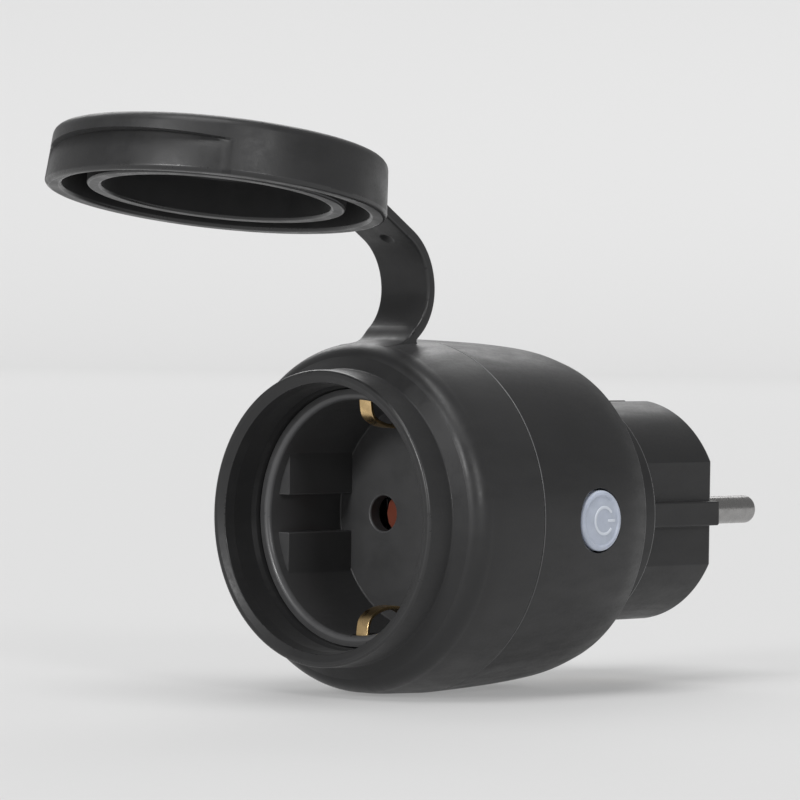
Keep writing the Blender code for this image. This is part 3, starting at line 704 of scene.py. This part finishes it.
def make_socket():
    """The recess that takes a plug: key blocks at the sides, earth slots above and below, two pin holes."""
    rim, back, sunk = Y_RECESS_RIM, INSERT_RADIUS - GAP, 0.6
    flange_rear, flange_front = rim + 10.85, rim + 8.85
    corners = [(Y_FLOOR_BACK, 0, 0), (Y_FLOOR_BACK, back, 0.3), (flange_rear, back, 0.2)]
    corners += [(flange_rear, INSERT_FLANGE_RADIUS, 0.2), (flange_front, INSERT_FLANGE_RADIUS, 0.2)]
    corners += [(flange_front, INSERT_RADIUS, 0.2), (rim, INSERT_RADIUS, 0.12), (rim, RECESS_RADIUS, 1.65)]
    corners += [(Y_FLOOR, RECESS_RADIUS, 0.25), (Y_FLOOR, 0, 0)]
    socket = lathe("socket_recess", rounded(corners))
    outer = RECESS_RADIUS + sunk
    reach = math.sqrt(outer**2 - BLOCK_FLAT**2) - 0.3
    curve = arc((0, 0), outer, math.degrees(math.asin(reach / outer)),
                math.degrees(math.asin(BLOCK_CHANNEL / outer)), 10)
    block = rounded([(BLOCK_FLAT, BLOCK_CHANNEL, 0.22), (BLOCK_FLAT, reach, 0.1), *plain(curve)])
    keys = []
    for side in (1, -1):
        for up in (1, -1):
            outline = [(side * x, up * z) for x, z in block]
            keys.append(prism(f"key_{side}_{up}", outline, rim + BLOCK_BEHIND, Y_FLOOR + sunk, "Y", 0.2))
    combine(socket, "UNION", keys)
    flare, beyond = 0.35, 2.0
    mouth = [(Y_FLOOR - beyond, 0), (Y_FLOOR - beyond, PIN_HOLE_RADIUS + flare)]
    for turn in QUARTER:
        along, more = flare * (1 - math.cos(turn)), flare * (1 - math.sin(turn))
        mouth.append((Y_FLOOR + along, PIN_HOLE_RADIUS + more))
    mouth += [(Y_FLOOR_BACK + beyond, PIN_HOLE_RADIUS), (Y_FLOOR_BACK + beyond, 0)]
    cutters = []
    for side in (1, -1):
        cutters.append(lathe(f"pin_hole_{side}", mouth, 72, (side * PIN_OFFSET, 0, 0)))
        heights = (16.9 * side, 24.0 * side)
        cutters.append(upright_box(f"earth_slot_{side}", 1.9, rim + SLOT_BEHIND, -50.0, heights, 0.3, 0.3))
    cutters += screw_rods("flange_hole", 1.5, -65, -58)
    combine(socket, "DIFFERENCE", cutters)
    combine(socket, "UNION", [rod("post", 1.5, Y_FLOOR_BACK - 1, high("socket_insert", "Y"))])
    dress(socket, "socket_plastic", "housing", "socket_insert")


# ---------------------------------------------------------------- plug end


def plug_outline(inset):
    """A disc with a flat on each side, and a rib in the middle of each flat that reaches the full radius."""
    radius, flat, rib = PLUG_RADIUS - inset, PLUG_FLAT - inset, PLUG_RIB_HALF - inset
    corner = math.sqrt(radius**2 - flat**2)
    corner_turn = math.degrees(math.atan2(corner, flat))
    rib_turn = math.degrees(math.asin(rib / radius))
    rib_end = radius * math.cos(math.radians(rib_turn))
    top = arc((0, 0), radius, corner_turn, 180 - corner_turn, 60)[1:-1]
    half = [(flat, rib, 0.25), (flat, corner, 0.5), *plain(top), (-flat, corner, 0.5), (-flat, rib, 0.25)]
    half += [(-rib_end, rib, 0.3), (-rib_end, -rib, 0.3)]
    return rounded(half + [(-x, -z, fillet) for x, z, fillet in half])


def make_plug():
    """The plug's body behind the barrel's rear edge, hollow, with ribs, earth grooves and pin bosses."""
    edge = 0.45
    stations = [(Y_BASE_STEP - 1.0, 0.0)]
    stations += [(Y_PLUG_FACE - edge * (1 - math.sin(t)), edge * (1 - math.cos(t))) for t in QUARTER]
    rings = [[(x, y, z) for x, z in plug_outline(inset)] for y, inset in stations]
    plug = loft("plug_end", rings)
    flange_rear, flange_front = -31.9, -33.4
    corners = [(Y_BASE_STEP, 0, 0), (Y_BASE_STEP, BASE_RADIUS, edge), (flange_rear, BASE_RADIUS, 0)]
    corners += [(flange_rear, BASE_FLANGE_RADIUS, 0.1), (flange_front, BASE_FLANGE_RADIUS, 0.1)]
    corners.append((flange_front, 0, 0))
    combine(plug, "UNION", [lathe("plug_base", rounded(corners))])
    combine(plug, "DIFFERENCE", [rod("plug_hollow", 15.2, -36.0, -5.0, steps=96)])
    bosses, cutters = [], []
    groove_half, groove_front = 2.6, -17.8
    for side in (1, -1):
        centre = (side * PIN_OFFSET, 0, 0)
        bosses.append(rod(f"pin_boss_{side}", 4.4, -13.0, -4.0, centre, steps=64))
        cutters.append(rod(f"pin_bore_{side}", PIN_RADIUS + GAP, -20.0, 3.0, centre, steps=64))
        heights = (17.5 * side, 22.0 * side)
        cutters.append(upright_box(f"groove_{side}", groove_half, groove_front, 3.0, heights, 0.3, 0.2))
        heights = (13.0 * side, 22.0 * side)
        cutters.append(upright_box(f"window_{side}", groove_half, groove_front, -15.8, heights, 0.2, 0.2))
    combine(plug, "UNION", bosses)
    combine(plug, "DIFFERENCE", cutters)
    dress(plug, "shell_plastic", "housing", "plug_body")


def make_pin(name, side):
    """A pin with a domed tip, a flange inside the plug's boss and a tail to the board."""
    tail, shank, flange = 1.0, 1.8, 3.7
    corners = [(Y_PIN_TAIL, 0, 0), (Y_PIN_TAIL, tail, 0.2), (-34.2, tail, 0), (-33.8, shank, 0.2)]
    corners += [(-15.1, shank, 0), (-15.1, flange, 0.2), (-13.4, flange, 0.2), (-13.4, PIN_RADIUS, 0)]
    corners += [(Y_PIN_TIP, PIN_RADIUS, 1.75), (Y_PIN_TIP, 0, 0)]
    pin = lathe(f"{name}_fine", rounded(corners), 72, (side * PIN_OFFSET, 0, 0))
    dress(pin, "nickel", "housing", name)


def ribbon(name, line, width):
    """A strip of metal along a line of (y, z), centred on X = 0, with rounded edges."""
    thickness, fillet = 0.6, 0.14
    section = rectangle((-width / 2, -thickness / 2), (width / 2, thickness / 2), fillet)
    points = [np.array(p, float) for p in line]
    rings = []
    for i, point in enumerate(points):
        along = points[min(i + 1, len(points) - 1)] - points[max(i - 1, 0)]
        along /= np.linalg.norm(along)
        square = np.array([-along[1], along[0]])
        rings.append([(x, *(point + square * h)) for x, h in section])
    return loft(name, rings)


def mirrored(half):
    return half[::-1] + [(y, -z) for y, z in half]


def make_earth_strips():
    """The plug's earth bracket with a strip on each side, and the socket's with two sprung arches."""
    corners = [(-29.0, 0.0, 0), (-29.0, 13.6, 1.2), (-16.8, 13.6, 1.0), (-16.8, 18.3, 1.0), (-1.0, 18.3, 0)]
    plug_strip = ribbon("plug_earth_strip", mirrored(rounded(corners, closed=False)[1:]), 4.4)
    dress(plug_strip, "brass", "housing", "plug_earth_bracket")
    arch = [(-57.0, 20.0), (-58.4, 16.6), (-61.4, 15.1), (-64.6, 15.05), (-67.3, 15.9)]
    arch += [(-68.6, 17.2), (-69.0, 19.6)]
    back = rounded([(-48.3, 0.0, 0), (-48.3, 20.0, 1.2), (-57.0, 20.0, 0)], closed=False)
    socket_strip = ribbon("socket_earth_strip", mirrored(back[1:-1] + smooth(arch, 8)), 2.6)
    dress(socket_strip, "brass", "housing", "socket_earth_bracket")


# ---------------------------------------------------------------- button


def make_button():
    """A frosted button: a soft rim round a shallow dish, a retaining flange and a stem to the switch."""
    face, radius, flange = BUTTON_FACE, BUTTON_RADIUS, BUTTON_RADIUS + BUTTON_FLANGE
    stem_end, flange_rear, flange_front, stem = face - 4.7, face - 4.35, face - 3.55, 1.5
    corners = [(stem_end, 0, 0), (stem_end, stem, 0.2), (flange_rear, stem, 0), (flange_rear, flange, 0.2)]
    corners += [(flange_front, flange, 0.2), (flange_front, radius, 0), (face - 0.15, radius, 0.5)]
    corners += [(face, radius - 0.75, 0.3), (face - 0.22, radius - 1.05, 0.2)]
    corners += [(face - 0.10, radius - 2.2, 1.5), (face - 0.06, 0, 0)]
    button = lathe("button_face", rounded(corners), 120, (0, BUTTON_Y, 0), "X")
    dress(button, "frosted_button", "button", "button")
    mark_y, mark_radius, half = BUTTON_Y + 0.55, 2.2, 0.25
    base, top = face - 0.45, face - 0.005
    section = rounded([(-half, base, 0), (half, base, 0), (half, top, 0.12), (-half, top, 0.12)])
    rings = []
    for turn in np.radians(np.linspace(36, 324, 61)):
        spokes = [(up, mark_radius + across) for across, up in section]
        rings.append([(up, mark_y + r * math.cos(turn), r * math.sin(turn)) for up, r in spokes])
    loop = loft("power_ring", rings)
    bar_outline = rectangle((mark_y + 0.9, -half), (mark_y + 2.7, half), 0.2)
    bar = prism("power_bar", bar_outline, base, top, "X", 0.08)
    mark_material = power_mark()
    for piece in (loop, bar):
        dress(piece, "frosted_button", "button")
        piece.data.materials[0] = mark_material


# ---------------------------------------------------------------- cap and strap

BENDS = [joint for joint in frame["joints"] if joint["name"].startswith("strap_bend")]
BENDS.sort(key=lambda joint: joint["name"])
HINGE_AXIS = Vector(BENDS[0]["axis"]).normalized()


def closing_motion():
    """The cap's motion from open to closed, with every bend of the strap at its upper limit."""
    motion = Matrix.Identity(4)
    for joint in BENDS:
        pivot = Matrix.Translation(joint["pos_m"])
        turn = Matrix.Rotation(math.radians(joint["range_deg"][1]), 4, HINGE_AXIS)
        motion = motion @ pivot @ turn @ pivot.inverted()
    return motion


def make_cap():
    """The cap: a rim, a sealing ring and a grip cut back under a lip. It is made closed, then opened."""
    top = Y_CAP_RIM - CAP_HEIGHT
    floor = top + CAP_PLATE
    ring_end = Y_CAP_RIM - CAP_RING_SHORT
    lip_place = top + GRIP_LIP + GRIP_LIP_GROWTH
    lip_spread, shallow, margin = 0.6, 0.4, 0.001

    def wall(along):
        """The cap's outer radius, which widens from its top to its rim."""
        return CAP_TOP_RADIUS + (CAP_RADIUS - CAP_TOP_RADIUS) * (along - top) / CAP_HEIGHT

    lip_shares = np.linspace(0, 1, 13)
    corners = [(Y_CAP_RIM, wall(Y_CAP_RIM), 0.75), (Y_CAP_RIM, CAP_BORE, 0.6), (floor, CAP_BORE, 0.5)]
    corners += [(floor, CAP_RING_OUTER, 0.5), (ring_end, CAP_RING_OUTER, 0.5)]
    corners += [(ring_end, CAP_RING_INNER, 0.5), (floor, CAP_RING_INNER, 0.5)]
    corners += [(floor, 0, 0), (top, 0, 0), (top, CAP_TOP_RADIUS, 1.7)]
    outline = rounded(corners)
    first_lip = len(outline)
    lip_rows = [lip_place + lip_spread * (share - 0.5) for share in lip_shares]
    side_rows = np.linspace(lip_place + lip_spread, Y_CAP_RIM - 0.9, 9)
    outline += [(along, wall(along)) for along in (*lip_rows, *side_rows)]

    def cut_radius(from_middle):
        reach = math.sqrt(GRIP_RADIUS**2 - (GRIP_SHIFT * math.sin(from_middle)) ** 2)
        return reach - GRIP_SHIFT * math.cos(from_middle)

    def warp(row, along, radius, turn):
        """Cuts the grip back below the lip. The grip's middle is at -Z, which is a turn of 270 degrees."""
        from_middle = turn - 1.5 * math.pi
        outside = abs(from_middle) > GRIP_END + margin
        if outside or radius < CAP_BORE + 0.7 or along < lip_place - lip_spread / 2 - 0.01:
            return along, radius
        depth = cut_radius(GRIP_END) - cut_radius(from_middle)
        if abs(from_middle) < GRIP_END - margin:
            depth += GRIP_STEP
        step = np.clip(depth / shallow, 0, 1)
        if first_lip <= row < first_lip + len(lip_shares):
            share = lip_shares[row - first_lip]
            eased = share * share * (3 - 2 * share)
            shelf = top + GRIP_LIP + GRIP_LIP_GROWTH * (from_middle / GRIP_END) ** 2 + 0.1 * (share - 0.5)
            return along + (shelf - along) * step * 0.9, radius - (depth + GRIP_UNDERCUT * step) * eased
        fade = math.exp((lip_place - along) / GRIP_UNDERCUT_FADE)
        return along, radius - depth - GRIP_UNDERCUT * step * fade

    cap = lathe("cap_shell", outline, warp=warp)
    cap.data.transform(closing_motion().inverted())
    dress(cap, "soft_rubber", "cap", "cap")


def strap_line(place):
    """(y, z) and direction of the strap's middle line, at a distance from its root."""
    y, z = STRAP_BACK
    lower = STRAP_ROOT_ANGLE * STRAP_LOWER_RADIUS
    upper = STRAP_TIP_ANGLE * STRAP_UPPER_RADIUS
    if place < lower:
        turn = place / STRAP_LOWER_RADIUS - STRAP_ROOT_ANGLE
        centre, radius = (y - STRAP_LOWER_RADIUS, z), STRAP_LOWER_RADIUS
    else:
        turn = min((place - lower) / STRAP_UPPER_RADIUS, STRAP_TIP_ANGLE)
        centre, radius = (y - STRAP_UPPER_RADIUS, z), STRAP_UPPER_RADIUS
    point = np.array([centre[0] + radius * math.cos(turn), centre[1] + radius * math.sin(turn)])
    direction = np.array([-math.sin(turn), math.cos(turn)])
    return point + max(place - lower - upper, 0) * direction, direction


def strap_matrix():
    """Takes the strap's plane, with X along its hinges, to its place."""
    along = Vector((0, 0, 1)).cross(HINGE_AXIS).normalized()
    plane = Matrix((HINGE_AXIS, along, HINGE_AXIS.cross(along))).transposed()
    point, _ = strap_line(STRAP_JOINTS[0])
    offset = HINGE_AXIS.y * float(point[0]) + HINGE_AXIS.z * float(point[1])
    return plane.to_4x4() @ Matrix.Translation(Vector((offset, 0, 0)) * MM)


def strap_section(front, back):
    """The strap's cross-section as points (x, h) between two heights, dense across its faces."""
    half_width = STRAP_WIDTH / 2
    outline = rectangle((-half_width, back), (half_width, front), 0.4)
    dense = []
    for (x0, h0), (x1, h1) in zip(outline, outline[1:] + outline[:1]):
        count = 48 if abs(x1 - x0) > half_width else 1
        dense += [(x0 + (x1 - x0) * k / count, h0 + (h1 - h0) * k / count) for k in range(count)]
    return dense


def strap_point(to_place, place, x, h):
    """A point of the strap: its place along the middle line, x across it and height h over it."""
    point, direction = strap_line(place)
    square = np.array([-direction[1], direction[0]])
    return to_place @ (Vector((x, *(point + square * h))) * MM) / MM


def height_over_sleeve(to_place, place, x, surface):
    """The height at which the strap's point lies on the sleeve's outer side."""
    h = 0.0
    for _ in range(5):
        point = strap_point(to_place, place, x, h)
        h -= math.hypot(point.x, point.z) - np.interp(point.y, *surface)
    return h


def strap_ring(to_place, place, surface):
    """The strap's cross-section at a place. Near the root its front face sinks and flows into the sleeve."""
    half = STRAP_THICK / 2
    eased = math.log1p(math.exp(STRAP_SINK_EASE * (STRAP_SINK_START - place))) / STRAP_SINK_EASE
    front = half - STRAP_SINK_SLOPE * eased
    back = min(-half, front - STRAP_THICK)
    if place <= 0:
        back = min(back, STRAP_ROOT_BACK)
    ring = []
    for x, h in strap_section(front, back):
        if h > 0:
            away = np.hypot(x - DIMPLE_PLACE[0], place - DIMPLE_PLACE[1])
            h -= DIMPLE_DEPTH * max(0.0, 1 - (away / DIMPLE_RADIUS) ** 2)
        if place < STRAP_FLOW_START and h > (front + back) / 2:
            ground = height_over_sleeve(to_place, place, x, surface) - 0.04
            h = ground + (h - ground + math.hypot(h - ground, STRAP_FLOW_EASE)) / 2
        ring.append(strap_point(to_place, place, x, h))
    return ring


def make_strap():
    """The strap as six bands that meet in the middle of each link, each spanning one hinge."""
    middles = [(a + b) / 2 for a, b in zip(STRAP_JOINTS, STRAP_JOINTS[1:])]
    cuts = [STRAP_ROOT, *middles, STRAP_TIP]
    to_place = strap_matrix()
    surface = np.array(sleeve_outline(7)[::-1]).T
    for i, (start, end) in enumerate(zip(cuts, cuts[1:])):
        places = np.linspace(start, end, max(8, round((end - start) / 0.2)))
        band = loft(f"strap_band_{i + 1}", [strap_ring(to_place, place, surface) for place in places])
        nodes = [f"strap_link_{i + 1}"] if i < len(middles) else []
        dress(band, "soft_rubber", None, *nodes)
        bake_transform(band)


# ---------------------------------------------------------------- stage


def make_stage():
    """A pale floor that turns up into a low rim all round, far from the object."""
    floor_z = cad_box[0].z / MM
    reach, bend, steps = 3500.0, 500.0, 96
    line = [(floor_z, 0), (floor_z, 150), (floor_z, 600), (floor_z, reach)]
    for turn in np.radians(range(6, 91, 6)):
        line.append((floor_z + bend * (1 - math.cos(turn)), reach + bend * math.sin(turn)))
    bm = bmesh.new()
    rings = []
    for z, radius in line:
        turns = [2 * math.pi * i / steps for i in range(steps if radius else 1)]
        places = [Vector((radius * math.cos(t), radius * math.sin(t), z)) * MM for t in turns]
        rings.append([bm.verts.new(place) for place in places])
    for ring, other in zip(rings, rings[1:]):
        bridge(bm, ring, other)
    bmesh.ops.reverse_faces(bm, faces=bm.faces)
    stage = new_object("studio_floor", bm)
    stage.data.materials.append(studio_floor())


def towards(azimuth, elevation):
    """The unit vector towards a place in the sky. Azimuth 0 is towards -Y and 90 towards +X, in degrees."""
    a, e = math.radians(azimuth), math.radians(elevation)
    return Vector((math.sin(a) * math.cos(e), -math.cos(a) * math.cos(e), math.sin(e)))


def sun(name, azimuth, elevation, strength, width):
    """A soft, distant light of a width in degrees."""
    light = bpy.data.lights.new(name, "SUN")
    light.energy = strength
    light.angle = math.radians(width)
    obj = bpy.data.objects.new(name, light)
    bpy.context.scene.collection.objects.link(obj)
    obj.rotation_mode = "QUATERNION"
    obj.rotation_quaternion = (-towards(azimuth, elevation)).to_track_quat("-Z", "Y")


def make_light():
    world = bpy.data.worlds.new("studio")
    world.use_nodes = True
    sky = world.node_tree.nodes["Background"]
    sky.inputs["Color"].default_value = (1.0, 1.0, 1.0, 1.0)
    sky.inputs["Strength"].default_value = 0.28
    bpy.context.scene.world = world
    sun("top", 20.0, 66.0, 1.8, 32.0)
    sun("front", -8.0, 5.0, 0.4, 30.0)
    sun("left_band", 3.0, 20.0, 1.2, 13.0)
    sun("right_band", 71.0, 20.0, 0.75, 13.0)
    sun("behind", 230.0, 40.0, 1.2, 42.0)
    bpy.context.scene.view_settings.view_transform = "Standard"


def make_camera():
    """A long lens at the viewing angle: slightly above, turned towards the button's side."""
    azimuth, elevation, roll = 42.6627, 1.1419, math.radians(0.8167)
    distance, target = 900.0, Vector((-14.524, -45.0, 18.8135))
    camera = bpy.data.cameras.new("camera")
    camera.sensor_width = 36.0
    camera.lens = 239.39
    camera.clip_start = 0.05
    camera.clip_end = 50.0
    back = towards(azimuth, elevation)
    right = towards(azimuth + 90, 0)
    up = back.cross(right)
    across = right * math.cos(roll) + up * math.sin(roll)
    above = up * math.cos(roll) - right * math.sin(roll)
    obj = bpy.data.objects.new("camera", camera)
    bpy.context.scene.collection.objects.link(obj)
    pose = Matrix((across, above, back)).transposed().to_4x4()
    pose.translation = (target + back * distance) * MM
    obj.matrix_world = pose
    bpy.context.scene.camera = obj


def dress_inner_nodes():
    """Procedural materials for the CAD pieces that stay as they are."""
    slots = {s["node"]: s["material_slot"] for s in frame["record"]["subparts"]}
    for name, node in frame["nodes"].items():
        if node.hide_render:
            continue
        node.data.materials.clear()
        node.data.materials.append(MATERIALS[slots[name]])


make_barrel()
make_sleeve()
make_socket()
make_plug()
make_pin("pin_left", -1)
make_pin("pin_right", 1)
make_earth_strips()
make_button()
make_cap()
make_strap()
dress_inner_nodes()
make_stage()
make_light()
make_camera()
